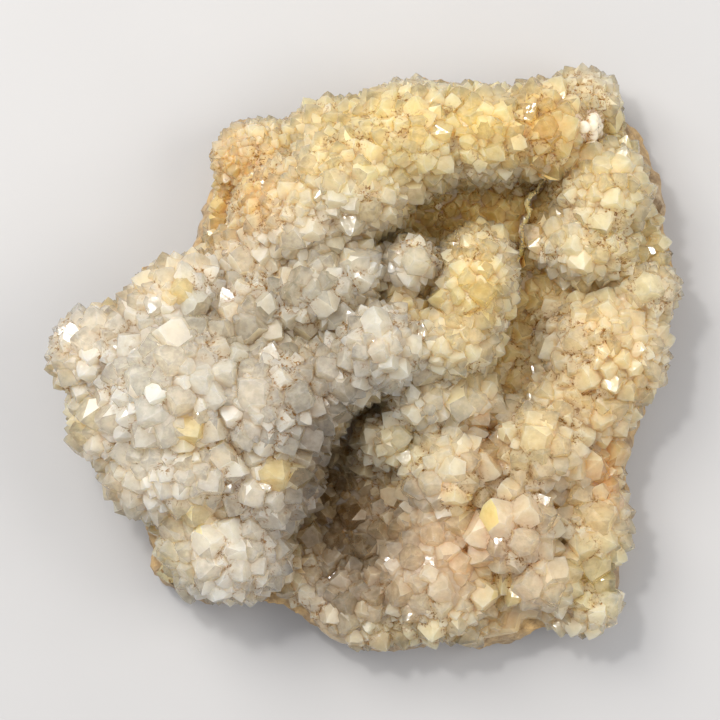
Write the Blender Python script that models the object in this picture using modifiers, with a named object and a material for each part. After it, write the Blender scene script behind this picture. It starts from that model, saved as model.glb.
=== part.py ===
"""A plate of quartz crystals on the rock that they grew on, lying on its flat broken base.

Metres, +Z up. The origin is the middle of the footprint, on the surface that the rock rests on.
X and Y follow the specimen seen from above, with the widest lobe at -X.
"""

import math
import random

import bmesh
import bpy
from mathutils import Matrix, Vector

MM = 0.001
SEED = 11

# The rock under the crystals
ROCK_TOP = 13.0
ROCK_VOXEL = 2.8
ROCK_ROUGHNESS = 5.5
ROCK_GRAIN = 16.0
ROCK_SMOOTHING = 4
ROCK_TRIANGLE_SHARE = 0.15
ROCK_SUNK = 4.0
JOINT_GAP = 0.4
SHORTEST_EDGE = 0.04

# The body of massive quartz that the crystals stand on
CRUST_FLOOR = 7.0
CRUST_TOP = 15.0
CRUST_INSET = 3.0
BODY_VOXEL = 2.2
BODY_SMOOTHING = 6
BODY_TRIANGLE_SHARE = 0.035

# The crystals: hexagonal prisms with steep pointed ends
CRYSTAL_COUNT = 165
CRYSTAL_WIDTH = (8.0, 14.0)
CRYSTAL_SPACING = 0.70
CRYSTAL_STANDS_PROUD = 0.16
CRYSTAL_BURIED = 0.75
CRYSTAL_LEAN = 0.34
POINT_STEEPNESS = 0.85
LOWEST_CRYSTAL = 12.5

# The outline of the rock, seen from above, in millimetres
ROCK_OUTLINE = [
    (-34, 46), (-29, 56), (-23, 57), (-15, 55.5), (-6, 57.5), (2, 62), (14, 66), (25, 64), (37, 62.5),
    (44, 66), (56, 66), (60, 60), (65, 51), (69, 42), (72, 28), (74, 16), (73, 8), (70, 0), (67.5, -8),
    (64, -17), (62, -26), (62.5, -42), (60, -46), (58.5, -62), (48, -63.5), (38.5, -61), (38, -65),
    (28, -67), (8, -67), (-0.5, -69), (-7, -65), (-14, -59), (-20, -55), (-26, -57.5), (-39, -56),
    (-46, -53), (-49, -46), (-49, -40), (-50, -30), (-53, -18), (-55, -6), (-53, 3), (-47, 11),
    (-40, 22), (-36, 34),
]

# The lumps of the crust: name, centre x and y, height of its top, half widths and turn in the plan, half height
LUMPS = [
    # The broad pale lobe, which hangs out over the rock
    ("left_tip", -57, 1.5, 37, 13, 10.5, 0, 13),
    ("left_edge", -54, -13, 35, 11, 13, 20, 13),
    ("left_middle", -40, -6, 45, 20, 19, 0, 21),
    ("left_crown", -20, -9, 45, 17, 15, 0, 20),
    ("left_lower", -38, -23, 40, 20, 13.5, 10, 18.5),
    ("left_side", -21, -25, 38, 12, 15, -15, 17.5),
    ("left_foot", -31, -42, 33, 15, 12, -15, 15),
    ("left_shoulder", -42, 13.5, 39, 13, 8.5, 35, 16),
    # The knobs in the middle
    ("middle_link", -7, -3, 40, 12, 9, 0, 17),
    ("middle_knob", 4, 3, 45, 11, 10, 0, 20),
    ("small_knob", 12, 22, 37, 6, 6, 0, 14),
    ("yellow_knob", 26, 17, 39, 9, 14, -8, 17),
    ("yellow_foot", 20, 4, 38, 12, 8, 10, 16),
    ("lower_knob", 14, -9, 31, 8, 7, 0, 13),
    ("lower_ledge", 25, -9, 27, 7, 7, 0, 11),
    # The ridge along the top, with the deep pocket under it
    ("ridge_flank", -22, 23, 31, 13, 11, 30, 14),
    ("ridge_start", -14, 33, 38, 15, 13, 0, 17),
    ("saddle_left", -24, 10, 37, 14, 10, 20, 16),
    ("saddle_middle", -10, 15, 38, 13, 11, 25, 17),
    ("saddle_right", -1, 20, 35, 8, 8, 0, 15),
    ("knob_floor", 11, 12, 30, 7, 7, 0, 14),
    ("ridge_bend", -2, 40, 41, 15, 13, 0, 18),
    ("ridge_crest", 12, 50, 40, 15, 13, 0, 18),
    ("ridge_middle", 27, 51, 38, 14, 11, 0, 17),
    ("ridge_end", 41, 52, 33, 12, 11, 0, 15),
    ("upper_left_slope", -22, 46, 23, 12, 9, 0, 10),
    ("upper_slope", -6, 51, 27, 12, 8, 15, 12),
    # The plate at the right
    ("corner_lump", 51, 59, 24, 8, 7, 0, 10.5),
    ("right_dome", 55, 38, 29, 11, 12, 0, 13),
    ("right_shelf", 51, 26, 28, 13, 8, -10, 12.5),
    ("right_knob", 65, 16, 24, 8, 5.5, 0, 10.5),
    ("right_swell", 56, 2, 26, 14, 14, 0, 11.5),
    ("right_foot", 50, -10, 23, 13, 10, 0, 10),
    # The lumps at the lower right
    ("pale_lump", 20, -25, 30, 11, 11, 0, 13.5),
    ("valley_knob", 6, -18, 25, 8, 7, 0, 11),
    ("honey_lump", 40, -20, 29, 11, 11, 0, 13),
    ("rosy_lump", 35, -38, 30, 10, 11, 0, 13.5),
    ("rosy_foot", 41, -50, 25, 9, 7, 0, 11),
    ("plate_middle", 21, -38, 24, 12, 9, 0, 10),
    ("plate_right", 49, -26, 21, 9, 8, 0, 9),
    ("lower_swell", 18, -50, 25, 14, 13, 0, 11),
    ("corner_swell", 53, -37, 22, 8, 12, 0, 9.5),
    ("corner_foot", 52, -56, 18, 8, 6, 0, 7.5),
    ("bottom_lump", 0, -56, 19, 12, 10, 0, 8),
]


def clear_scene():
    for old in list(bpy.data.objects):
        bpy.data.objects.remove(old)


def collection(name, shown=True):
    made = bpy.data.collections.new(name)
    made.hide_render = not shown
    bpy.context.scene.collection.children.link(made)
    return made


def object_from(name, mesh, home):
    made = bpy.data.objects.new(name, mesh)
    home.objects.link(made)
    return made


def object_from_bmesh(name, bm, home):
    mesh = bpy.data.meshes.new(name)
    bm.to_mesh(mesh)
    bm.free()
    return object_from(name, mesh, home)


def finish(name, colour, roughness):
    """A plain material with one colour."""
    material = bpy.data.materials.new(name)
    material.use_nodes = True
    shader = material.node_tree.nodes["Principled BSDF"]
    shader.inputs["Base Color"].default_value = (*colour, 1)
    shader.inputs["Roughness"].default_value = roughness
    return material


def evaluated(obj):
    """A new mesh with the object's modifiers applied."""
    graph = bpy.context.evaluated_depsgraph_get()
    graph.update()
    return bpy.data.meshes.new_from_object(obj.evaluated_get(graph))


def apply_modifiers(obj):
    mesh = evaluated(obj)
    obj.modifiers.clear()
    obj.data = mesh


def add_boolean(obj, other, operation):
    """Both meshes are closed, and the exact solver loses the body where many crystals meet."""
    modifier = obj.modifiers.new(other.name, "BOOLEAN")
    modifier.operation = operation
    modifier.solver = "MANIFOLD"
    modifier.object = other


def slab(name, outline, low, high, grow, home):
    """A flat plate between two heights, from an outline in millimetres that grows or shrinks by a margin."""
    curve = bpy.data.curves.new(name, "CURVE")
    curve.dimensions = "2D"
    curve.fill_mode = "BOTH"
    curve.extrude = (high - low) / 2 * MM
    spline = curve.splines.new("POLY")
    spline.points.add(len(outline) - 1)
    for point, (x, y) in zip(spline.points, outline):
        reach = math.hypot(x, y)
        share = (reach + grow) / reach
        point.co = (x * share * MM, y * share * MM, 0, 1)
    spline.use_cyclic_u = True
    flat = object_from(name + "_outline", curve, home)
    flat.location.z = (low + high) / 2 * MM
    bpy.context.view_layer.update()
    mesh = evaluated(flat)
    mesh.transform(flat.matrix_world)
    bm = bmesh.new()
    bm.from_mesh(mesh)
    bmesh.ops.remove_doubles(bm, verts=bm.verts, dist=0.01 * MM)
    bpy.data.objects.remove(flat)
    return bm


def rock_texture():
    texture = bpy.data.textures.new("rock_breaks", "VORONOI")
    texture.noise_scale = ROCK_GRAIN * MM
    texture.distance_metric = "DISTANCE"
    texture.weight_1 = 1.0
    texture.weight_2 = -0.4
    return texture


def make_rock(home):
    """The broken rock: a slab with chipped sides, cut flat where it rests."""
    bm = slab("matrix_rock", ROCK_OUTLINE, 0, ROCK_TOP + ROCK_SUNK, 0, home)
    rock = object_from_bmesh("matrix_rock", bm, home)
    remesh = rock.modifiers.new("even_faces", "REMESH")
    remesh.mode = "VOXEL"
    remesh.voxel_size = ROCK_VOXEL * MM
    breaks = rock.modifiers.new("breaks", "DISPLACE")
    breaks.texture = rock_texture()
    breaks.texture_coords = "GLOBAL"
    breaks.strength = ROCK_ROUGHNESS * MM
    breaks.mid_level = 0.35
    soften = rock.modifiers.new("worn", "SMOOTH")
    soften.iterations = ROCK_SMOOTHING
    fewer = rock.modifiers.new("fewer_faces", "DECIMATE")
    fewer.ratio = ROCK_TRIANGLE_SHARE
    apply_modifiers(rock)
    cut_flat(rock, ROCK_SUNK)
    return rock


def cut_flat(obj, height):
    """Removes what lies below a height, closes the cut with one flat face and sets it on the ground."""
    bm = bmesh.new()
    bm.from_mesh(obj.data)
    everything = bm.verts[:] + bm.edges[:] + bm.faces[:]
    cut = bmesh.ops.bisect_plane(
        bm, geom=everything, plane_co=(0, 0, height * MM), plane_no=(0, 0, -1), clear_outer=True
    )
    rim = [e for e in cut["geom_cut"] if isinstance(e, bmesh.types.BMEdge)]
    bmesh.ops.contextual_create(bm, geom=rim)
    bmesh.ops.translate(bm, verts=bm.verts, vec=(0, 0, -height * MM))
    bm.to_mesh(obj.data)
    bm.free()


def make_body(home):
    """The massive quartz: every lump and the floor between them, run together and smoothed."""
    bm = slab("crust", ROCK_OUTLINE, CRUST_FLOOR, CRUST_TOP, -CRUST_INSET, home)
    for _, x, y, top, half_x, half_y, turn, half_z in LUMPS:
        place = Matrix.Translation((x * MM, y * MM, (top - half_z) * MM))
        turned = Matrix.Rotation(math.radians(turn), 4, "Z")
        size = Matrix.Diagonal((half_x * MM, half_y * MM, half_z * MM, 1))
        bmesh.ops.create_icosphere(bm, subdivisions=3, radius=1, matrix=place @ turned @ size)
    body = object_from_bmesh("quartz_crust", bm, home)
    remesh = body.modifiers.new("run_together", "REMESH")
    remesh.mode = "VOXEL"
    remesh.voxel_size = BODY_VOXEL * MM
    smooth = body.modifiers.new("smooth", "SMOOTH")
    smooth.iterations = BODY_SMOOTHING
    fewer = body.modifiers.new("fewer_faces", "DECIMATE")
    fewer.ratio = BODY_TRIANGLE_SHARE
    apply_modifiers(body)
    return body


def scattered_places(body, rng):
    """Points spread over the body, each with its outward direction and a crystal's width."""
    mesh = body.data
    mesh.calc_loop_triangles()
    triangles = mesh.loop_triangles
    areas = [t.area for t in triangles]
    places = []
    tries = 0
    while len(places) < CRYSTAL_COUNT and tries < CRYSTAL_COUNT * 60:
        tries += 1
        triangle = rng.choices(triangles, areas)[0]
        a, b, c = (mesh.vertices[v].co for v in triangle.vertices)
        u, v = sorted((rng.random(), rng.random()))
        point = a * u + b * (v - u) + c * (1 - v)
        width = rng.uniform(*CRYSTAL_WIDTH) * MM
        if point.z < LOWEST_CRYSTAL * MM or triangle.normal.z < -0.6:
            continue
        if any((point - p).length < CRYSTAL_SPACING * (width + w) / 2 for p, _, w in places):
            continue
        places.append((point, triangle.normal.copy(), width))
    return places


def add_crystal(bm, point, direction, width, rng):
    """One hexagonal prism with a six-sided point, set in the body with its tip off centre."""
    radius = width / 2
    proud = CRYSTAL_STANDS_PROUD * width
    buried = CRYSTAL_BURIED * width
    made = bmesh.ops.create_cone(
        bm, cap_ends=True, segments=6, radius1=radius * 0.9, radius2=radius, depth=proud + buried
    )
    corners = made["verts"]
    faces = {face for corner in corners for face in corner.link_faces}
    end = max(faces, key=lambda face: face.calc_center_median().z)
    tip = bmesh.ops.poke(bm, faces=[end])["verts"][0]
    aside = Vector((rng.uniform(-1, 1), rng.uniform(-1, 1), 0)) * radius * 0.22
    tip.co += aside + Vector((0, 0, radius * POINT_STEEPNESS))
    spin = Matrix.Rotation(rng.uniform(0, math.tau / 6), 4, "Z")
    stand = direction.to_track_quat("Z", "Y").to_matrix().to_4x4()
    middle = Matrix.Translation(point + direction * (proud - buried) / 2)
    place = middle @ stand @ spin
    for corner in [*corners, tip]:
        corner.co = place @ corner.co


def lean(direction, rng):
    push = Vector((rng.gauss(0, 1), rng.gauss(0, 1), rng.gauss(0, 1))) * CRYSTAL_LEAN
    return (direction + push * 0.5).normalized()


def crystal_sets(places):
    """The crystals in sets whose members don't touch, so that each set is a clean mesh."""
    sets = []
    for place in places:
        reach = place[2] * 1.3
        for members in sets:
            if all((place[0] - p).length > reach + w * 1.3 for p, _, w in members):
                members.append(place)
                break
        else:
            sets.append([place])
    return sets


def grow_crystals(body, helpers):
    """Fuses a crust of crystals to the body, one set at a time."""
    rng = random.Random(SEED)
    for number, members in enumerate(crystal_sets(scattered_places(body, rng))):
        bm = bmesh.new()
        for point, normal, width in members:
            add_crystal(bm, point, lean(normal, rng), width, rng)
        crystals = object_from_bmesh(f"crystal_set_{number}", bm, helpers)
        add_boolean(body, crystals, "UNION")
    apply_modifiers(body)


def seat_on_rock(body, rock, helpers):
    """Cuts the crust to the rock's own surface, with a small gap, and keeps the one main piece."""
    cutter = object_from("rock_with_gap", rock.data.copy(), helpers)
    grow = cutter.modifiers.new("gap", "DISPLACE")
    grow.strength = JOINT_GAP * MM
    grow.mid_level = 0
    add_boolean(body, cutter, "DIFFERENCE")
    apply_modifiers(body)
    keep_main_piece(body)


def keep_main_piece(obj):
    """Drops the chips that the cut left loose, and the slivers along the edges where crystals meet."""
    bm = bmesh.new()
    bm.from_mesh(obj.data)
    left = set(bm.verts)
    islands = []
    while left:
        island = set()
        front = [left.pop()]
        while front:
            vertex = front.pop()
            island.add(vertex)
            near = {edge.other_vert(vertex) for edge in vertex.link_edges} & left
            left -= near
            front.extend(near)
        islands.append(island)
    largest = max(islands, key=len)
    bmesh.ops.delete(bm, geom=[v for v in bm.verts if v not in largest], context="VERTS")
    bmesh.ops.dissolve_degenerate(bm, dist=SHORTEST_EDGE * MM, edges=bm.edges)
    bm.to_mesh(obj.data)
    bm.free()


def main():
    clear_scene()
    specimen = collection("quartz_specimen")
    helpers = collection("helpers", shown=False)
    rock = make_rock(specimen)
    crust = make_body(specimen)
    grow_crystals(crust, helpers)
    seat_on_rock(crust, rock, helpers)
    rock.data.materials.append(finish("matrix_rock", (0.55, 0.36, 0.17), 0.8))
    crust.data.materials.append(finish("quartz_crust", (0.82, 0.76, 0.64), 0.2))


main()
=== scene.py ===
"""The quartz specimen dressed for the picture: small crystals, the matrix rock, the floor and the lights.

Sizes and places are in millimetres and are the model's own; MM turns them into metres.
"""

import math
import random

import bmesh
import bpy
import numpy as np
from mathutils import Matrix, Vector, noise
from mathutils.bvhtree import BVHTree
from mathutils.geometry import intersect_point_line
from mathutils.kdtree import KDTree


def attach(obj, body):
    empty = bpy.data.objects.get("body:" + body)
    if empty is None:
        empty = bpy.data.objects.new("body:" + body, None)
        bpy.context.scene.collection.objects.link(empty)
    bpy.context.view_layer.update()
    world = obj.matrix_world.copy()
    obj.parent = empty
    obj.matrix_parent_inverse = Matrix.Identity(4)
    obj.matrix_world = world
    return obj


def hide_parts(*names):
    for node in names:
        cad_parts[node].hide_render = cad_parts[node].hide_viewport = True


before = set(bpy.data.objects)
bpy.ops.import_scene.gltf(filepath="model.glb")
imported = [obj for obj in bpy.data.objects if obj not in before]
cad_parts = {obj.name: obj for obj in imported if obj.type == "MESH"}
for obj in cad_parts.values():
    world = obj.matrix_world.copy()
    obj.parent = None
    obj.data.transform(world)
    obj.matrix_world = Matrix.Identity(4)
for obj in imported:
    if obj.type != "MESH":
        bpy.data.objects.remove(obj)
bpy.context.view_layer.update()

MM = 0.001
SEED = 5
ABOVE_ALL = 100.0

# The massive quartz under the crystals, the same forms as the solids have
CRUST_FLOOR = 7.0
CRUST_TOP = 15.0
CRUST_INSET = 3.0
BODY_VOXEL = 1.3
BODY_SMOOTHING = 6
BODY_TRIANGLE_SHARE = 0.22

ROCK_OUTLINE = [
    (-34, 46), (-29, 56), (-23, 57), (-15, 55.5), (-6, 57.5), (2, 62), (14, 66), (25, 64), (37, 62.5),
    (44, 66), (56, 66), (60, 60), (65, 51), (69, 42), (72, 28), (74, 16), (73, 8), (70, 0), (67.5, -8),
    (64, -17), (62, -26), (62.5, -42), (60, -46), (58.5, -62), (48, -63.5), (38.5, -61), (38, -65),
    (28, -67), (8, -67), (-0.5, -69), (-7, -65), (-14, -59), (-20, -55), (-26, -57.5), (-39, -56),
    (-46, -53), (-49, -46), (-49, -40), (-50, -30), (-53, -18), (-55, -6), (-53, 3), (-47, 11),
    (-40, 22), (-36, 34),
]

# The lumps: name, centre x and y, height of its top, half widths and turn in the plan, half height
LUMPS = [
    ("left_tip", -57, 1.5, 37, 13, 10.5, 0, 13),
    ("left_edge", -54, -13, 35, 11, 13, 20, 13),
    ("left_middle", -40, -6, 45, 20, 19, 0, 21),
    ("left_crown", -20, -9, 45, 17, 15, 0, 20),
    ("left_lower", -38, -23, 40, 20, 13.5, 10, 18.5),
    ("left_side", -21, -25, 38, 12, 15, -15, 17.5),
    ("left_foot", -31, -42, 33, 15, 12, -15, 15),
    ("left_shoulder", -42, 13.5, 39, 13, 8.5, 35, 16),
    ("middle_link", -7, -3, 40, 12, 9, 0, 17),
    ("middle_knob", 4, 3, 45, 11, 10, 0, 20),
    ("small_knob", 12, 22, 37, 6, 6, 0, 14),
    ("yellow_knob", 26, 17, 39, 9, 14, -8, 17),
    ("yellow_foot", 20, 4, 38, 12, 8, 10, 16),
    ("lower_knob", 14, -9, 31, 8, 7, 0, 13),
    ("lower_ledge", 25, -9, 27, 7, 7, 0, 11),
    ("ridge_flank", -22, 23, 31, 13, 11, 30, 14),
    ("ridge_start", -14, 33, 38, 15, 13, 0, 17),
    ("saddle_left", -24, 10, 37, 14, 10, 20, 16),
    ("saddle_middle", -10, 15, 38, 13, 11, 25, 17),
    ("saddle_right", -1, 20, 35, 8, 8, 0, 15),
    ("knob_floor", 11, 12, 30, 7, 7, 0, 14),
    ("ridge_bend", -2, 40, 41, 15, 13, 0, 18),
    ("ridge_crest", 12, 50, 40, 15, 13, 0, 18),
    ("ridge_middle", 27, 51, 38, 14, 11, 0, 17),
    ("ridge_end", 41, 52, 33, 12, 11, 0, 15),
    ("upper_left_slope", -22, 46, 23, 12, 9, 0, 10),
    ("upper_slope", -6, 51, 27, 12, 8, 15, 12),
    ("corner_lump", 51, 59, 24, 8, 7, 0, 10.5),
    ("right_dome", 55, 38, 29, 11, 12, 0, 13),
    ("right_shelf", 51, 26, 28, 13, 8, -10, 12.5),
    ("right_knob", 65, 16, 24, 8, 5.5, 0, 10.5),
    ("right_swell", 56, 2, 26, 14, 14, 0, 11.5),
    ("right_foot", 50, -10, 23, 13, 10, 0, 10),
    ("pale_lump", 20, -25, 30, 11, 11, 0, 13.5),
    ("valley_knob", 6, -18, 25, 8, 7, 0, 11),
    ("honey_lump", 40, -20, 29, 11, 11, 0, 13),
    ("rosy_lump", 35, -38, 30, 10, 11, 0, 13.5),
    ("rosy_foot", 41, -50, 25, 9, 7, 0, 11),
    ("plate_middle", 21, -38, 24, 12, 9, 0, 10),
    ("plate_right", 49, -26, 21, 9, 8, 0, 9),
    ("lower_swell", 18, -50, 25, 14, 13, 0, 11),
    ("corner_swell", 53, -37, 22, 8, 12, 0, 9.5),
    ("corner_foot", 52, -56, 18, 8, 6, 0, 7.5),
    ("bottom_lump", 0, -56, 19, 12, 10, 0, 8),
]

# The crystals: the smallest and largest width of each growth and how often it tries, the largest first; how
# close they stand, against their mean width; how far they lean; the lowest ground that they grow on; and the
# cell and the reach in cells of the grid that finds the near ones
GROWTHS = [(6.6, 8.4, 450), (5.2, 6.6, 3000), (3.8, 5.2, 9000), (2.6, 3.8, 12000)]
CRYSTAL_SPACING = 0.45
CRYSTAL_LEAN = 0.22
MOST_LEAN = 0.60
LOWEST_CRYSTAL = 11.0
SCATTER_CELL = 4.0
SCATTER_REACH = 2

# The upward part of the ground's outward direction: below the first value no crystals grow, and below the
# second they are finer, by up to the third on upright ground
MOST_OVERHANG = -0.75
STEEP_GROUND = 0.6
STEEP_FINENESS = 0.25

# One crystal's shape, for a prism of radius 1: its radius at the foot, its length and middle before it is
# cut, its shoulder, the slope of its end faces in degrees, how far its tip is off centre, how far back its
# three large and its three small faces stand, how far its sides are from its axis, and where its root ends
HABITS = 28
PRISM_FOOT = 0.9
PRISM_LENGTH = 6.0
PRISM_MIDDLE = 1.0
SHOULDER = (-0.45, -0.05)
FACE_SLOPE = (48, 53)
TIP_OFFSET = 0.1
LARGE_FACE_BACK = (0.0, 0.04)
SMALL_FACE_BACK = (0.05, 0.26)
FACE_MIDDLE = 0.866
DEEPEST_ROOT = -1.9

# Crystals of one set stand further apart than this many times their two widths together; the cell is that of
# the grid that finds the near ones
SET_CLEARANCE = 1.35
SET_CELL = 6.0

# The clear points that stand out from their neighbours: x, y and width; against their width, how much room
# they take and how far they stand above the others
POINTS = [
    (35.5, -22.5, 6.8), (34.0, -16.5, 6.2), (31.5, -35.0, 10.0), (34.0, -30.0, 7.0), (27.5, -31.5, 6.5),
    (37.0, -40.5, 8.0), (44.0, -43.0, 6.0), (38.0, -50.5, 9.0), (54.5, -30.0, 5.0), (47.0, -35.0, 7.0),
    (19.0, -51.5, 8.5), (12.0, -45.0, 7.0), (25.0, -23.0, 7.5), (16.0, -27.5, 7.0), (45.0, -20.0, 6.5),
    (-30.0, -3.0, 8.0), (-21.0, 12.5, 6.5), (-28.5, -12.5, 7.0), (-13.5, -8.0, 8.5), (-52.0, 3.5, 9.0),
    (-40.0, -9.0, 8.5), (-24.0, -30.0, 7.5), (-46.0, -22.0, 8.0), (3.5, 8.0, 8.0), (9.0, -2.0, 7.5),
    (12.0, 38.0, 8.0), (19.0, 43.5, 7.5), (2.0, 34.0, 7.0), (12.5, 22.0, 7.5), (57.0, 36.0, 7.0),
]
POINT_ROOM = 1.7
POINT_RISE = 0.10

# Rounded pale nodules near the upper right corner: middle of the cluster, its reach, the room that it keeps
# clear of crystals, its rise in the middle, how fast that falls away, the nodules' number and sizes, and the
# grain of their mesh
NODULES_AT = (52.5, 53.0)
NODULES_REACH = 2.2
NODULES_CLEARANCE = 2.3
NODULES_RISE = 2.4
NODULES_FALL = 0.25
NODULE_COUNT = 16
NODULE_RADIUS = (1.2, 1.8)
NODULE_VOXEL = 0.3

# The thin iron-stained edge beside the pocket's right end: its route, the radius of its chips, their shape
# against it, the way between two, how far they wander and rise, how far they turn and tilt, the room that
# the edge keeps clear of crystals, and the grain of its mesh
BROWN_EDGE = [(42, 42), (40.5, 38.5), (38, 36.5), (38.5, 33), (37, 30), (37.2, 26), (35.5, 22)]
EDGE_CHIP = (0.4, 0.85)
EDGE_CHIP_SHAPE = (1.7, 0.35, 1.5)
EDGE_STEP = 0.35
EDGE_WANDER = 0.4
EDGE_RISE = (1.0, 3.8)
EDGE_TURN = 0.5
EDGE_TILT = 0.4
EDGE_CLEARANCE = 1.6
EDGE_VOXEL = 0.18

# The nodules and the brown edge are opaque: a frost above 1 lets no light through. Faces within this many
# radii of a ball or a chip belong to it.
LUMPY_FROST = 1.6
LUMPY_REACH = 1.2

# The rim where no crystals grow and the stained contact with the rock shows: x, y and reach
BARE_RIM = [
    (63.5, 52, 3.5), (66, 47, 3.5), (68, 42, 3.5), (70, 36, 3.5), (71.5, 30, 3.5),
    (37.5, -61, 6), (31, -65, 4), (-5, -65, 3.5), (-9.5, -62, 3.5), (-14, -58.5, 3.5),
    (-19, -55.5, 3.5), (-48, -41, 3.5), (-48.5, -47, 3.5), (-43.5, -52, 3.5), (-37, -55.5, 3),
]

# Where the crystals are larger or smaller than usual: x, y, reach, size against the usual one
COARSENESS = [
    (36, -38, 22, 1.4),
    (44, -50, 12, 1.2),
    (20, -30, 16, 1.2),
    (-42, -8, 36, 1.35),
    (-28, 44, 14, 0.62),
    (-32, -42, 12, 1.2),
    (20, 34, 14, 0.72),
    (58, 10, 30, 1.05),
    (20, 54, 26, 1.1),
]

# Colours, as the surface reflects them
MILKY = (0.83, 0.77, 0.65)
CLEAR_TINT = (0.75, 0.71, 0.60)
# Brown of the grime between the crystals, also painted there as shade, and of the roots' veins
DIRT_AND_SHADE_BROWN = (0.42, 0.26, 0.09)
SPECK_BROWN = (0.32, 0.15, 0.03)
HONEY = (0.85, 0.70, 0.34)
YELLOW = (0.88, 0.67, 0.23)
ORANGE = (0.84, 0.54, 0.18)
ROSY = (0.82, 0.62, 0.39)
TAN = (0.83, 0.63, 0.31)
GREY = (0.52, 0.46, 0.34)
# Near black-brown of the left lobe's shadow, painted into the valley beside it
VALLEY_SHADOW_BROWN = (0.15, 0.08, 0.018)
DEEP_HONEY = (0.68, 0.45, 0.12)
RUST = (0.72, 0.41, 0.13)
PEACH = (0.82, 0.56, 0.29)
NODULE_PALE = (0.80, 0.67, 0.49)
EDGE_BROWN = (0.88, 0.55, 0.17)
RIM_TAN = (0.58, 0.39, 0.17)
ROCK_HONEY = (0.55, 0.36, 0.15)
ROCK_GREY = (0.36, 0.28, 0.19)
ROCK_DARK = (0.16, 0.10, 0.06)
ROCK_PALE = (0.62, 0.50, 0.33)

# How the rim of a stain or of the painted shadow is broken up, the scale of that, and how fast it fades
STAIN_RAGGED = 0.35
STAIN_SCALE = 0.11
STAIN_FALL = 1.1

# How far crystals differ from their place in tone and warmth, and the mean and spread of their frost
CRYSTAL_TONE = 0.03
CRYSTAL_WARMTH = 0.02
CRYSTAL_FROST = (0.4, 0.25)

# A crystal is found by its middle, this many radii above its foot. A face belongs to one of the five nearest
# if it is within this many radii of its axis; further out it is bare ground. A point's height above the
# massive quartz counts up to a limit.
CRYSTAL_MIDDLE = 0.5
NEAR_CRYSTALS = 5
CRYSTAL_REACH = 1.15
MOST_STAND = 6.0

# The stains, and one painted shadow: centre x and y, reach along and across, turn, colour, strength
STAINS_AND_SHADOW = [
    (10, 48, 52, 17, 5, HONEY, 0.75),
    (-28, 40, 12, 14, 0, ORANGE, 0.8),
    (32, 53, 28, 10, 0, YELLOW, 0.7),
    (43, 50, 8, 10, 15, ORANGE, 0.7),
    (-2, 54, 12, 8, 10, YELLOW, 0.5),
    (26, 16, 11, 17, -10, YELLOW, 0.8),
    (22, -2, 12, 8, 0, HONEY, 0.5),
    (58, 28, 18, 30, 0, HONEY, 0.7),
    (56, -6, 18, 22, 0, TAN, 0.85),
    (-16, 12, 22, 11, 20, GREY, 0.75),
    (2, -2, 14, 12, 0, GREY, 0.35),
    (36, -36, 22, 22, 0, ROSY, 0.65),
    (12, -46, 22, 18, 0, ROSY, 0.65),
    (38, -18, 13, 11, 0, HONEY, 0.5),
    (53, -47, 10, 18, 0, HONEY, 0.75),
    (12, -62, 24, 7, 5, HONEY, 0.5),
    (10, -20, 12, 9, 0, HONEY, 0.55),
    # Painted shadow: the valley beside the left lobe, darkened for the lobe's shadow over a brown stain
    (-5, -33, 12, 27, 12, VALLEY_SHADOW_BROWN, 1.0),
    (22, 33, 16, 6, 5, DEEP_HONEY, 0.9),
    (41, 38, 4, 20, -12, DEEP_HONEY, 0.6),
    (24, -31.5, 3, 4, 0, YELLOW, 0.95),
    (25, -45, 4, 6, 0, PEACH, 0.9),
    (31, -51, 4, 5, 0, YELLOW, 0.6),
    (28.5, -16, 2.5, 6, 0, RUST, 0.8),
    (56, -27, 4, 7, 0, RUST, 0.9),
    (-37.7, -16, 2.2, 5, 0, YELLOW, 0.9),
    (-40.5, 14.5, 2.5, 2.5, 0, YELLOW, 0.8),
    (-63, -14, 4, 4, 0, YELLOW, 0.6),
    (-18, -24.5, 4, 4, 0, YELLOW, 0.6),
    (-37, -35, 5, 4, 0, YELLOW, 0.65),
    (-67, -8, 5, 12, 0, TAN, 0.5),
    (-59, -28, 8, 7, -30, TAN, 0.5),
    (-46, 19, 10, 4, 35, TAN, 0.55),
    (-47, -46, 8, 7, -30, HONEY, 0.8),
    (67.5, 41, 18, 3, -72, RIM_TAN, 0.8),
    (37, -60, 8, 4, 0, RIM_TAN, 0.9),
    (-12, -60, 15, 3.5, -33, RIM_TAN, 0.6),
]

# Hollows hold an iron stain and painted shade, darker and warmer the deeper they lie: half the square that
# is read, its cells, the reach in cells of the near and of the wide mean height, the depth that takes the
# full stain and shade, and their strength
HOLLOW_AREA = 90.0
HOLLOW_CELL = 2.0
HOLLOW_NEAR = 1
HOLLOW_WIDE = 5
HOLLOW_DEPTH = 5.0
HOLLOW_STAIN_AND_SHADE = 0.75

# The rock's finer breaks: the grain of the mesh, their relief, its limit, the scale of ledges and of chips,
# the chips' share of the relief, the height over which the relief fades in above the flat base, and the
# ledges' fractal: its roughness, the step from one layer to the next and the number of layers
ROCK_VOXEL = 1.2
ROCK_RELIEF = 1.5
ROCK_REACH = 1.6
ROCK_LEDGE_SCALE = 0.13
ROCK_CHIP_SCALE = 0.28
ROCK_CHIP_SHARE = 0.35
ROCK_FADE = 1.2
ROCK_LEDGES = (0.9, 2.1, 5)

# How far the milky quartz lies under the clearer points
ROOT_DEPTH = 0.4

# How light spreads in the quartz: the reach of red, green and blue against a scale in millimetres, and how
# strongly it bends
SPREAD_REACH = (1.0, 0.9, 0.72)
SPREAD_SCALE = 6.5
QUARTZ_IOR = 1.544

# In metres, the camera's height, the height that it is framed for, the frame's width there and half the
# floor; then the floor's two greys and the sky
CAMERA_HEIGHT = 0.95
FRAME_LEVEL = 0.03
FRAME_WIDTH = 0.162
FLOOR_HALF = 2.5
FLOOR_GREYS = ((0.42, 0.41, 0.40, 1), (0.46, 0.45, 0.44, 1))
SKY = (0.90, 0.93, 1.0, 1)
SKY_STRENGTH = 0.78

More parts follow.
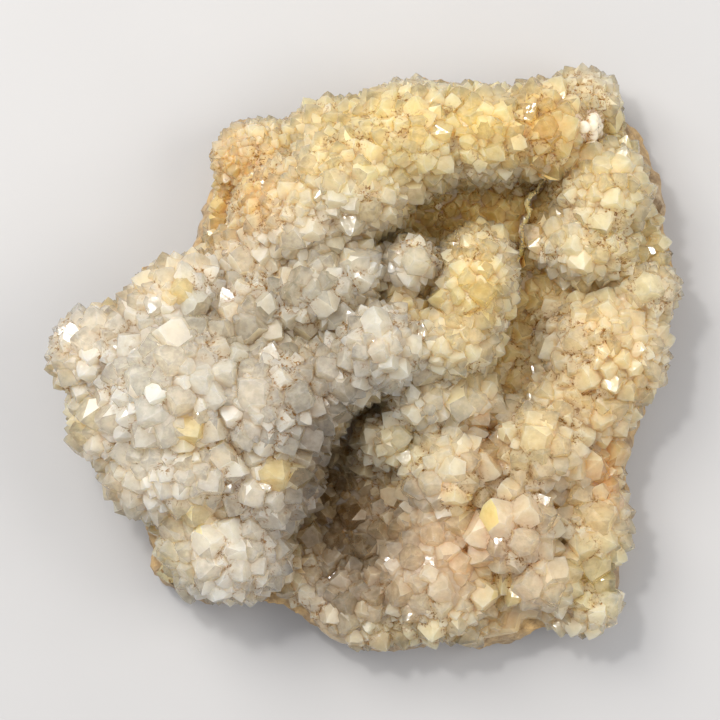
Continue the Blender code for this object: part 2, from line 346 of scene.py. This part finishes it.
# The square lamps: name, place and size in metres, watts, colour, and whether faces mirror it as a glint
LAMPS = [
    ("key", (-0.38, 0.43, 0.64), 0.50, 5.5, (1.0, 0.97, 0.92), False),
    ("sheen", (-0.42, 0.43, 0.62), 0.36, 0.9, (1.0, 0.98, 0.95), True),
    ("glints", (-0.25, 0.30, 0.80), 0.08, 2.2, (1.0, 1.0, 1.0), True),
    ("fill", (0.55, 0.05, 0.60), 0.45, 2.8, (1.0, 0.97, 0.92), False),
]
LAMPS_LOOK_AT = (0, 0, 0.02)


def collection_object(name, mesh):
    made = bpy.data.objects.new(name, mesh)
    bpy.context.scene.collection.objects.link(made)
    return made


def evaluated(obj):
    graph = bpy.context.evaluated_depsgraph_get()
    graph.update()
    return bpy.data.meshes.new_from_object(obj.evaluated_get(graph))


def apply_modifiers(obj):
    mesh = evaluated(obj)
    obj.modifiers.clear()
    obj.data = mesh


def slab(outline, low, high, margin):
    """A flat plate between two heights, from an outline that a margin moves out or, below 0, in."""
    curve = bpy.data.curves.new("outline", "CURVE")
    curve.dimensions = "2D"
    curve.fill_mode = "BOTH"
    curve.extrude = (high - low) / 2 * MM
    spline = curve.splines.new("POLY")
    spline.points.add(len(outline) - 1)
    for point, (x, y) in zip(spline.points, outline):
        reach = math.hypot(x, y)
        share = (reach + margin) / reach
        point.co = (x * share * MM, y * share * MM, 0, 1)
    spline.use_cyclic_u = True
    flat = collection_object("outline", curve)
    mesh = evaluated(flat)
    mesh.transform(Matrix.Translation((0, 0, (low + high) / 2 * MM)))
    bm = bmesh.new()
    bm.from_mesh(mesh)
    bmesh.ops.remove_doubles(bm, verts=bm.verts, dist=0.01 * MM)
    bpy.data.objects.remove(flat)
    return bm


def make_body():
    """The massive quartz, every lump run together and smoothed."""
    bm = slab(ROCK_OUTLINE, CRUST_FLOOR, CRUST_TOP, -CRUST_INSET)
    for _, x, y, top, half_x, half_y, turn, half_z in LUMPS:
        place = Matrix.Translation((x * MM, y * MM, (top - half_z) * MM))
        turned = Matrix.Rotation(math.radians(turn), 4, "Z")
        size = Matrix.Diagonal((half_x * MM, half_y * MM, half_z * MM, 1))
        bmesh.ops.create_icosphere(bm, subdivisions=3, radius=1, matrix=place @ turned @ size)
    mesh = bpy.data.meshes.new("quartz_druse")
    bm.to_mesh(mesh)
    bm.free()
    body = collection_object("quartz_druse", mesh)
    remesh = body.modifiers.new("run_together", "REMESH")
    remesh.mode = "VOXEL"
    remesh.voxel_size = BODY_VOXEL * MM
    smooth = body.modifiers.new("smooth", "SMOOTH")
    smooth.iterations = BODY_SMOOTHING
    fewer = body.modifiers.new("fewer_faces", "DECIMATE")
    fewer.ratio = BODY_TRIANGLE_SHARE
    apply_modifiers(body)
    return body


def surface_of(mesh):
    """A mesh's surface as it is now, to find its points by."""
    corners = [v.co.copy() for v in mesh.vertices]
    return BVHTree.FromPolygons(corners, [p.vertices[:] for p in mesh.polygons])


def coarseness(x, y):
    size = 1.0
    for cx, cy, reach, factor in COARSENESS:
        near = math.exp(-((x - cx) ** 2 + (y - cy) ** 2) / reach ** 2)
        size *= factor ** near
    return size


def cell_of(point, size):
    """The cell of a cubic grid that holds a point."""
    return tuple(int(math.floor(t / size)) for t in point)


def cells_around(cell, reach):
    """A cell and its neighbours up to this many cells away."""
    steps = range(-reach, reach + 1)
    return [(cell[0] + dx, cell[1] + dy, cell[2] + dz) for dx in steps for dy in steps for dz in steps]


def crowded(point, width, grid):
    """Whether another crystal stands closer to this place than the spacing lets them."""
    return any(
        (point - other).length < CRYSTAL_SPACING * (width + other_width) / 2
        for cell in cells_around(cell_of(point, SCATTER_CELL * MM), SCATTER_REACH)
        for other, other_width in grid.get(cell, ())
    )


def ground(bare, x, y):
    """The point of the massive quartz under a place, and its outward direction."""
    hit, normal, _, _ = bare.ray_cast(Vector((x, y, ABOVE_ALL)) * MM, Vector((0, 0, -1)))
    return hit, normal


def kept_clear(x, y):
    """Whether no crystal starts here: at the bare rim, the pale nodules and the brown edge."""
    if math.hypot(x - NODULES_AT[0], y - NODULES_AT[1]) < NODULES_REACH + NODULES_CLEARANCE:
        return True
    if any(math.hypot(x - rim_x, y - rim_y) < reach for rim_x, rim_y, reach in BARE_RIM):
        return True
    here = Vector((x, y))
    for start, end in zip(BROWN_EDGE, BROWN_EDGE[1:]):
        nearest, share = intersect_point_line(here, Vector(start), Vector(end))
        if 0 <= share <= 1 and (nearest - here).length < EDGE_CLEARANCE:
            return True
    return False


def scatter(body, bare, rng):
    """Where each crystal grows: (foot, outward direction, width), largest first, none crowding another."""
    mesh = body.data
    mesh.calc_loop_triangles()
    triangles = [
        t for t in mesh.loop_triangles if t.normal.z > MOST_OVERHANG and t.center.z > LOWEST_CRYSTAL * MM
    ]
    areas = np.cumsum([t.area for t in triangles])
    places = []
    grid = {}
    for x, y, width in POINTS:
        point, normal = ground(bare, x, y)
        point += normal * POINT_RISE * width * MM
        places.append((point, normal, width * MM))
        grid.setdefault(cell_of(point, SCATTER_CELL * MM), []).append((point, width * POINT_ROOM * MM))
    for smallest, largest, tries in GROWTHS:
        for _ in range(tries):
            triangle = triangles[int(np.searchsorted(areas, rng.random() * areas[-1]))]
            a, b, c = (mesh.vertices[v].co for v in triangle.vertices)
            u, v = sorted((rng.random(), rng.random()))
            point = a * u + b * (v - u) + c * (1 - v)
            steep = 1 - min(1.0, max(0.0, triangle.normal.z / STEEP_GROUND))
            usual = coarseness(point.x / MM, point.y / MM) * (1 - STEEP_FINENESS * steep)
            width = rng.uniform(smallest, largest) * usual * MM
            if crowded(point, width, grid) or kept_clear(point.x / MM, point.y / MM):
                continue
            grid.setdefault(cell_of(point, SCATTER_CELL * MM), []).append((point, width))
            places.append((point, triangle.normal.copy(), width))
    return places


def habit(rng):
    """One crystal shape: a six-sided prism of radius 1 cut by six end faces, three of them larger."""
    bm = bmesh.new()
    shoulder = rng.uniform(*SHOULDER)
    bmesh.ops.create_cone(
        bm, cap_ends=True, segments=6, radius1=PRISM_FOOT, radius2=1.0, depth=PRISM_LENGTH,
        matrix=Matrix.Translation((0, 0, PRISM_MIDDLE)) @ Matrix.Rotation(math.radians(30), 4, "Z"),
    )
    slope = math.radians(rng.uniform(*FACE_SLOPE))
    shift = Vector((rng.uniform(-TIP_OFFSET, TIP_OFFSET), rng.uniform(-TIP_OFFSET, TIP_OFFSET), 0))
    for side in range(6):
        turn = math.radians(60 * side)
        outward = Vector((math.cos(turn), math.sin(turn), 0))
        back = rng.uniform(*(LARGE_FACE_BACK if side % 2 else SMALL_FACE_BACK))
        normal = (outward * math.sin(slope) + Vector((0, 0, 1)) * math.cos(slope)).normalized()
        point = shift + Vector((0, 0, shoulder))
        point = point + outward * (FACE_MIDDLE - shift.dot(outward)) + normal * back
        everything = bm.verts[:] + bm.edges[:] + bm.faces[:]
        cut = bmesh.ops.bisect_plane(bm, geom=everything, plane_co=point, plane_no=normal, clear_outer=True)
        rim = [e for e in cut["geom_cut"] if isinstance(e, bmesh.types.BMEdge)]
        if rim:
            bmesh.ops.contextual_create(bm, geom=rim)
    bmesh.ops.dissolve_degenerate(bm, dist=0.01, edges=bm.edges)
    bmesh.ops.recalc_face_normals(bm, faces=bm.faces)
    for vertex in bm.verts:
        vertex.co.z = max(vertex.co.z, DEEPEST_ROOT)
    corners = np.array([vertex.co[:] for vertex in bm.verts])
    faces = [[v.index for v in face.verts] for face in bm.faces]
    bm.free()
    return corners, faces


def crystal_sets(places):
    """The crystals in sets whose members don't touch, so that each set is a clean mesh."""
    sets = []
    for place in places:
        point, _, width = place
        own_cell = cell_of(point, SET_CELL * MM)
        near_cells = cells_around(own_cell, max(1, math.ceil(2 * SET_CLEARANCE * width / (SET_CELL * MM))))
        for members, grid in sets:
            clear = all(
                (point - other).length > SET_CLEARANCE * (width + other_width)
                for cell in near_cells
                for other, other_width in grid.get(cell, ())
            )
            if clear:
                break
        else:
            members, grid = [], {}
            sets.append((members, grid))
        members.append(place)
        grid.setdefault(own_cell, []).append((point, width))
    return [members for members, _ in sets]


def nodules(bare, rng):
    """The balls of the pale cluster: (centre, radius, how a ball of radius 1 is placed)."""
    balls = []
    for _ in range(NODULE_COUNT):
        away = NODULES_REACH * math.sqrt(rng.random())
        turn = rng.uniform(0, math.tau)
        x, y = NODULES_AT[0] + away * math.cos(turn), NODULES_AT[1] + away * math.sin(turn)
        rise = NODULES_RISE - NODULES_FALL * away ** 2
        centre = ground(bare, x, y)[0] + Vector((0, 0, rise * MM))
        radius = rng.uniform(*NODULE_RADIUS) * MM
        balls.append((centre, radius, Matrix.Translation(centre) @ Matrix.Scale(radius, 4)))
    return balls


def brown_edge(bare, rng):
    """A jagged row of thin chips that follows the ground from one named place to the next."""
    chips = []
    for (x0, y0), (x1, y1) in zip(BROWN_EDGE, BROWN_EDGE[1:]):
        steps = int(math.hypot(x1 - x0, y1 - y0) / EDGE_STEP)
        heading = math.atan2(y1 - y0, x1 - x0)
        for step in range(steps):
            share = step / steps
            x = x0 + (x1 - x0) * share + rng.uniform(-EDGE_WANDER, EDGE_WANDER)
            y = y0 + (y1 - y0) * share
            centre = ground(bare, x, y)[0] + Vector((0, 0, rng.uniform(*EDGE_RISE) * MM))
            radius = rng.uniform(*EDGE_CHIP) * MM
            turn = Matrix.Rotation(heading + rng.gauss(0, EDGE_TURN), 4, "Z")
            tilt = Matrix.Rotation(rng.gauss(0, EDGE_TILT), 4, "X")
            thin = Matrix.Diagonal((*(radius * side for side in EDGE_CHIP_SHAPE), 1))
            chips.append((centre, radius, Matrix.Translation(centre) @ (turn @ tilt) @ thin))
    return chips


def run_together(name, balls, detail, voxel):
    """One closed lumpy mesh from overlapping balls."""
    bm = bmesh.new()
    for _, _, place in balls:
        bmesh.ops.create_icosphere(bm, subdivisions=detail, radius=1, matrix=place)
    mesh = bpy.data.meshes.new(name)
    bm.to_mesh(mesh)
    bm.free()
    made = collection_object(name, mesh)
    remesh = made.modifiers.new("run_together", "REMESH")
    remesh.mode = "VOXEL"
    remesh.voxel_size = voxel * MM
    apply_modifiers(made)
    return made


def join(body, other):
    modifier = body.modifiers.new(other.name, "BOOLEAN")
    modifier.operation = "UNION"
    modifier.solver = "MANIFOLD"
    modifier.object = other


def keep_main_piece(obj):
    """Drops the small bits that the joins left loose."""
    bm = bmesh.new()
    bm.from_mesh(obj.data)
    left = set(bm.verts)
    islands = []
    while left:
        island = set()
        front = [left.pop()]
        while front:
            vertex = front.pop()
            island.add(vertex)
            near = {edge.other_vert(vertex) for edge in vertex.link_edges} & left
            left -= near
            front.extend(near)
        islands.append(island)
    largest = max(islands, key=len)
    bmesh.ops.delete(bm, geom=[v for v in bm.verts if v not in largest], context="VERTS")
    bm.to_mesh(obj.data)
    bm.free()


def grow(body, places, extras, rng):
    """Joins the crystals and the extras to the body and returns each crystal's foot, axis and radius."""
    shapes = [habit(rng) for _ in range(HABITS)]
    helpers = list(extras)
    grown = []
    for number, members in enumerate(crystal_sets(places)):
        corners, faces, count = [], [], 0
        for point, normal, width in members:
            shape, sides = rng.choice(shapes)
            push = Vector((rng.gauss(0, 1), rng.gauss(0, 1), rng.gauss(0, 1))) * CRYSTAL_LEAN
            push *= min(1.0, MOST_LEAN / max(push.length, 1e-6))
            axis = (normal + push).normalized()
            spin = Matrix.Rotation(rng.uniform(0, math.tau), 3, "Z")
            turned = np.array(axis.to_track_quat("Z", "Y").to_matrix() @ spin)
            radius = width / 2
            corners.append(shape @ turned.T * radius + np.array(point[:]))
            faces.extend([[count + v for v in side] for side in sides])
            count += len(shape)
            grown.append((point.copy(), axis, radius))
        mesh = bpy.data.meshes.new(f"growth_{number}")
        mesh.from_pydata(np.concatenate(corners).tolist(), [], faces)
        helpers.append(collection_object(f"growth_{number}", mesh))
    for other in helpers:
        join(body, other)
    apply_modifiers(body)
    keep_main_piece(body)
    for other in helpers:
        bpy.data.objects.remove(other)
    return grown


class Hollows:
    """How deep each place lies below the ground around it, read from the massive quartz."""

    def __init__(self, bare):
        cells = int(2 * HOLLOW_AREA / HOLLOW_CELL)
        heights = np.full((cells, cells), CRUST_TOP)
        for row in range(cells):
            for column in range(cells):
                x = column * HOLLOW_CELL - HOLLOW_AREA
                y = row * HOLLOW_CELL - HOLLOW_AREA
                hit, _ = ground(bare, x, y)
                if hit:
                    heights[row, column] = hit.z / MM
        self.depth = self.blurred(heights, HOLLOW_WIDE) - self.blurred(heights, HOLLOW_NEAR)

    def blurred(self, heights, reach):
        """The mean of the heights over a square that reaches this many cells each way."""
        for axis in (0, 1):
            shifted = [np.roll(heights, step, axis) for step in range(-reach, reach + 1)]
            heights = sum(shifted) / len(shifted)
        return heights

    def at(self, x, y):
        column = int((x + HOLLOW_AREA) / HOLLOW_CELL + 0.5)
        row = int((y + HOLLOW_AREA) / HOLLOW_CELL + 0.5)
        return float(self.depth[row, column])


def stained(x, y, hollows):
    """The colour of the quartz that grows at a place, with its stains, the painted shade of hollows and the
    painted shadow in the valley, before the speckle of each crystal.
    """
    # Painted shade with iron stain: the deeper a place lies below the ground around it, the more it turns
    # dark honey
    deep = min(1.0, max(0.0, hollows.at(x, y) / HOLLOW_DEPTH))
    colour = Vector(MILKY).lerp(Vector(DEEP_HONEY), deep * HOLLOW_STAIN_AND_SHADE)
    for cx, cy, reach_x, reach_y, turn, tint, strength in STAINS_AND_SHADOW:
        dx, dy = x - cx, y - cy
        c, s = math.cos(math.radians(turn)), math.sin(math.radians(turn))
        u, v = (dx * c + dy * s) / reach_x, (dy * c - dx * s) / reach_y
        ragged = STAIN_RAGGED * noise.noise(Vector((x * STAIN_SCALE, y * STAIN_SCALE, cx)))
        near = math.exp(-max(0.0, u * u + v * v + ragged) * STAIN_FALL)
        colour = colour.lerp(Vector(tint), min(1.0, near) * strength)
    return colour


def crystal_looks(grown, hollows, rng):
    """Each crystal's colour, a little off that of its place, and its frost."""
    tints = []
    for foot, _, _ in grown:
        tone = rng.gauss(0, CRYSTAL_TONE)
        warm = rng.gauss(0, CRYSTAL_WARMTH)
        tint = stained(foot.x / MM, foot.y / MM, hollows)
        tints.append((tint.x * (1 + tone + warm), tint.y * (1 + tone), tint.z * (1 + tone - warm), 1))
    frosts = [min(1, max(0, rng.gauss(*CRYSTAL_FROST))) for _ in grown]
    return tints, frosts


def tree_of(points):
    """A search tree over numbered points."""
    tree = KDTree(len(points))
    for number, point in enumerate(points):
        tree.insert(point, number)
    tree.balance()
    return tree


def own_crystal(centre, grown, crystals):
    """The crystal that a face belongs to, and how far the face is from its axis in radii."""
    best, nearest = None, math.inf
    for _, number, _ in crystals.find_n(centre, NEAR_CRYSTALS):
        foot, axis, radius = grown[number]
        away = centre - foot
        off_axis = (away - axis * away.dot(axis)).length / radius
        if off_axis < nearest:
            best, nearest = number, off_axis
    return best, nearest


def write_layer(mesh, name, kind, domain, key, values):
    layer = mesh.attributes.new(name, kind, domain)
    layer.data.foreach_set(key, values)


def mark_crystals(body, bare, grown, lumpy, hollows, rng):
    """Writes on the mesh each face's colour and frost, and how far each point stands out."""
    mesh = body.data
    tints, frosts = crystal_looks(grown, hollows, rng)
    crystals = tree_of([foot + axis * radius * CRYSTAL_MIDDLE for foot, axis, radius in grown])
    ball_looks = [(centre, radius, (*tint, 1)) for members, tint in lumpy for centre, radius, _ in members]
    balls = tree_of([centre for centre, _, _ in ball_looks])
    colours = np.empty((len(mesh.polygons), 4), dtype=np.float32)
    frost = np.empty(len(mesh.polygons), dtype=np.float32)
    for face in mesh.polygons:
        centre = face.center
        _, ball, away = balls.find(centre)
        _, ball_radius, ball_tint = ball_looks[ball]
        best, off_axis = own_crystal(centre, grown, crystals)
        if away < ball_radius * LUMPY_REACH:
            colours[face.index] = ball_tint
            frost[face.index] = LUMPY_FROST
        elif off_axis > CRYSTAL_REACH:
            colours[face.index] = (*stained(centre.x / MM, centre.y / MM, hollows), 1)
            frost[face.index] = 1.0
        else:
            colours[face.index] = tints[best]
            frost[face.index] = frosts[best]
    stand = [min(MOST_STAND, (bare.find_nearest(v.co)[3] or 0) / MM) for v in mesh.vertices]
    write_layer(mesh, "crystal_colour", "FLOAT_COLOR", "FACE", "color", colours.ravel())
    write_layer(mesh, "crystal_frost", "FLOAT", "FACE", "value", frost)
    write_layer(mesh, "crystal_stand", "FLOAT", "POINT", "value", stand)


class Nodes:
    """Short calls for one material's nodes."""

    def __init__(self, name):
        self.material = bpy.data.materials.new(name)
        self.material.use_nodes = True
        self.tree = self.material.node_tree
        self.shader = self.tree.nodes["Principled BSDF"]

    def add(self, kind, **values):
        node = self.tree.nodes.new("ShaderNode" + kind)
        for key, value in values.items():
            if hasattr(node, key):
                setattr(node, key, value)
            else:
                self.feed(node.inputs[key.replace("_", " ")], value)
        return node

    def feed(self, socket, value):
        if isinstance(value, bpy.types.NodeSocket):
            self.tree.links.new(value, socket)
        else:
            socket.default_value = value

    def math(self, operation, first, second):
        node = self.add("Math", operation=operation)
        self.feed(node.inputs[0], first)
        self.feed(node.inputs[1], second)
        return node.outputs[0]

    def spread(self, value, low, high, to_low=0.0, to_high=1.0):
        node = self.add("MapRange", interpolation_type="SMOOTHSTEP")
        for socket, given in zip(node.inputs, (value, low, high, to_low, to_high)):
            self.feed(socket, given)
        return node.outputs[0]

    def blend(self, share, first, second, kind="MIX"):
        node = self.add("Mix", data_type="RGBA", blend_type=kind)
        self.feed(node.inputs["Factor"], share)
        self.feed(node.inputs[6], first)
        self.feed(node.inputs[7], second)
        return node.outputs[2]

    def noise(self, size, detail, rough=0.5, warp=0.0):
        """Soft noise whose grain is a size in millimetres, placed by the object's own coordinates."""
        place = self.add("TexCoord").outputs["Object"]
        node = self.add("TexNoise", Vector=place, Scale=1 / (size * MM), Detail=detail, Roughness=rough)
        node.inputs["Distortion"].default_value = warp
        return node.outputs["Fac"]

    def bump(self, height, depth, under=None):
        node = self.add("Bump", Height=height, Distance=depth * MM)
        if under:
            self.feed(node.inputs["Normal"], under)
        return node.outputs["Normal"]

    def read(self, name):
        return self.add("Attribute", attribute_name=name)


def quartz_material():
    n = Nodes("milky_quartz")
    own = n.read("crystal_colour").outputs["Color"]
    frost = n.read("crystal_frost").outputs["Fac"]
    stand = n.read("crystal_stand").outputs["Fac"]

    # Clearer and milkier patches
    cloud = n.spread(n.noise(2.2, 5, 0.6), 0.3, 0.7)
    clouded = n.blend(n.math("MULTIPLY", cloud, 0.15), own, (*CLEAR_TINT, 1))

    # Brown grime and painted shade in the crevices: the lower a point stands between the crystals, the
    # browner, in patches
    crevice = n.spread(stand, 0.05, 1.5, 1.0, 0.0)
    patchy = n.spread(n.noise(7, 3), 0.35, 0.62)
    dirt_and_shade = n.math("MULTIPLY", crevice, n.math("ADD", n.math("MULTIPLY", patchy, 0.32), 0.08))
    dirtied_and_shaded = n.blend(dirt_and_shade, clouded, (*DIRT_AND_SHADE_BROWN, 1))

    # Iron specks low between the crystals
    low = n.spread(stand, 0.6, 2.2, 1.0, 0.0)
    speck = n.math("MULTIPLY", n.spread(n.noise(0.9, 3, 0.6, 0.8), 0.54, 0.61), low)
    rusty = n.spread(n.noise(11, 3), 0.48, 0.58)
    colour = n.blend(n.math("MULTIPLY", speck, rusty), dirtied_and_shaded, (*SPECK_BROWN, 1))
    shader = n.shader
    n.feed(shader.inputs["Base Color"], colour)
    shader.inputs["Subsurface Weight"].default_value = 1.0
    shader.inputs["Subsurface Radius"].default_value = SPREAD_REACH
    shader.inputs["Subsurface Scale"].default_value = SPREAD_SCALE * MM
    shader.inputs["IOR"].default_value = QUARTZ_IOR

    # Glossy faces, duller where the crystal is frosted
    rough = n.math("ADD", n.math("MULTIPLY", n.noise(1.3, 4), 0.08), 0.02)
    n.feed(shader.inputs["Roughness"], n.math("ADD", rough, n.math("MULTIPLY", frost, 0.12)))

    # Tips are clearest, frosted crystals let less light through, and the opaque lumps none
    clear = n.math("MULTIPLY", n.spread(stand, 0.1, 2.0, 0.6, 0.88), n.spread(frost, 0.1, 0.8, 0.95, 0.50))
    clear = n.math("MULTIPLY", clear, n.spread(frost, 1.1, 1.5, 1.0, 0.0))
    n.feed(shader.inputs["Transmission Weight"], n.math("MULTIPLY", clear, n.spread(cloud, 0, 1, 1, 0.85)))

    steps = n.bump(n.noise(0.9, 3, 0.45), 0.07)
    n.feed(shader.inputs["Normal"], n.bump(n.noise(3.0, 2, 0.4), 0.24, steps))
    return n.material


def root_material():
    """The milky quartz that shows through the clearer points that stand on it."""
    n = Nodes("milky_roots")
    own = n.read("root_colour").outputs["Color"]
    veins = n.spread(n.noise(1.8, 5, 0.65, 0.7), 0.42, 0.62)
    colour = n.blend(n.math("MULTIPLY", veins, 0.12), own, (*DIRT_AND_SHADE_BROWN, 1), "MULTIPLY")
    n.feed(n.shader.inputs["Base Color"], colour)
    n.feed(n.shader.inputs["Roughness"], n.spread(veins, 0, 1, 0.35, 0.6))
    n.feed(n.shader.inputs["Normal"], n.bump(n.noise(1.6, 4, 0.6), 0.5))
    return n.material


def make_roots(body, hollows):
    """A copy of the massive quartz, drawn in a little, with its colour by place."""
    roots = collection_object("milky_roots", body.data.copy())
    mesh = roots.data
    normals = [v.normal.copy() for v in mesh.vertices]
    for vertex, normal in zip(mesh.vertices, normals):
        vertex.co -= normal * ROOT_DEPTH * MM
    colours = [(*stained(v.co.x / MM, v.co.y / MM, hollows), 1) for v in mesh.vertices]
    colours = np.array(colours, dtype=np.float32)
    write_layer(mesh, "root_colour", "FLOAT_COLOR", "POINT", "color", colours.ravel())
    mesh.shade_smooth()
    mesh.materials.append(root_material())
    return roots


def rock_material():
    n = Nodes("stained_matrix")
    broad = n.spread(n.noise(16, 3), 0.35, 0.65)
    colour = n.blend(broad, (*ROCK_HONEY, 1), (*ROCK_GREY, 1))
    fine = n.spread(n.noise(2.4, 6, 0.65), 0.35, 0.68)
    colour = n.blend(n.math("MULTIPLY", fine, 0.6), colour, (*ROCK_DARK, 1))
    pale = n.spread(n.noise(5, 4, 0.6, 0.8), 0.58, 0.70)
    colour = n.blend(n.math("MULTIPLY", pale, 0.7), colour, (*ROCK_PALE, 1))
    n.feed(n.shader.inputs["Base Color"], colour)
    n.feed(n.shader.inputs["Roughness"], n.spread(fine, 0, 1, 0.6, 0.92))
    coarse = n.bump(n.noise(3.5, 6, 0.65), 0.8)
    n.feed(n.shader.inputs["Normal"], n.bump(n.noise(0.7, 4, 0.6), 0.25, coarse))
    return n.material


def make_rock():
    """The broken matrix: the solid's own form with finer breaks, still flat where it rests."""
    mesh = bpy.data.objects["matrix_rock"].data.copy()
    rock = collection_object("broken_matrix", mesh)
    remesh = rock.modifiers.new("even_faces", "REMESH")
    remesh.mode = "VOXEL"
    remesh.voxel_size = ROCK_VOXEL * MM
    apply_modifiers(rock)
    for vertex, normal in zip(rock.data.vertices, [v.normal.copy() for v in rock.data.vertices]):
        place = vertex.co / MM
        ledges = noise.fractal(place * ROCK_LEDGE_SCALE, *ROCK_LEDGES)
        chips = noise.cell(place * ROCK_CHIP_SCALE)
        raised = max(0.0, min(1.0, vertex.co.z / (ROCK_FADE * MM)))
        push = (ROCK_RELIEF * ledges + ROCK_CHIP_SHARE * ROCK_RELIEF * (chips - 0.5)) * raised
        vertex.co += normal * min(push, ROCK_REACH) * MM
        vertex.co.z = max(vertex.co.z, 0.0)
    rock.data.materials.clear()
    rock.data.materials.append(rock_material())
    return rock


def light(name, place, size, power, colour, mirrored):
    data = bpy.data.lights.new(name, "AREA")
    data.size = size
    data.energy = power
    data.color = colour
    lamp = bpy.data.objects.new(name, data)
    lamp.location = place
    lamp.rotation_euler = (Vector(LAMPS_LOOK_AT) - lamp.location).to_track_quat("-Z", "Y").to_euler()
    lamp.visible_glossy = mirrored
    bpy.context.scene.collection.objects.link(lamp)


def studio():
    bm = bmesh.new()
    bmesh.ops.create_grid(bm, x_segments=1, y_segments=1, size=FLOOR_HALF)
    mesh = bpy.data.meshes.new("floor")
    bm.to_mesh(mesh)
    bm.free()
    floor = collection_object("floor", mesh)
    n = Nodes("pale_floor")
    tone = n.blend(n.noise(60, 3), *FLOOR_GREYS)
    n.feed(n.shader.inputs["Base Color"], tone)
    n.shader.inputs["Roughness"].default_value = 0.8
    mesh.materials.append(n.material)
    world = bpy.data.worlds.new("studio")
    world.use_nodes = True
    world.node_tree.nodes["Background"].inputs["Color"].default_value = SKY
    world.node_tree.nodes["Background"].inputs["Strength"].default_value = SKY_STRENGTH
    bpy.context.scene.world = world
    bpy.context.scene.view_settings.view_transform = "Standard"
    for lamp in LAMPS:
        light(*lamp)
    camera = bpy.data.objects.new("camera", bpy.data.cameras.new("camera"))
    camera.location = (0, 0, CAMERA_HEIGHT)
    camera.data.lens = camera.data.sensor_width * (CAMERA_HEIGHT - FRAME_LEVEL) / FRAME_WIDTH
    bpy.context.scene.collection.objects.link(camera)
    bpy.context.scene.camera = camera


rng = random.Random(SEED)
body = make_body()
bare = surface_of(body.data)
hollows = Hollows(bare)
roots = make_roots(body, hollows)
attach(roots, "root")
pale_balls = nodules(bare, rng)
edge_chips = brown_edge(bare, rng)
extras = [
    run_together("nodules", pale_balls, 2, NODULE_VOXEL),
    run_together("brown_edge", edge_chips, 1, EDGE_VOXEL),
]
grown = grow(body, scatter(body, bare, rng), extras, rng)
mark_crystals(body, bare, grown, [(pale_balls, NODULE_PALE), (edge_chips, EDGE_BROWN)], hollows, rng)
body.data.materials.clear()
body.data.materials.append(quartz_material())
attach(body, "root")
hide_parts("quartz_crust")

rock = make_rock()
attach(rock, "root")
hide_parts("matrix_rock")

studio()
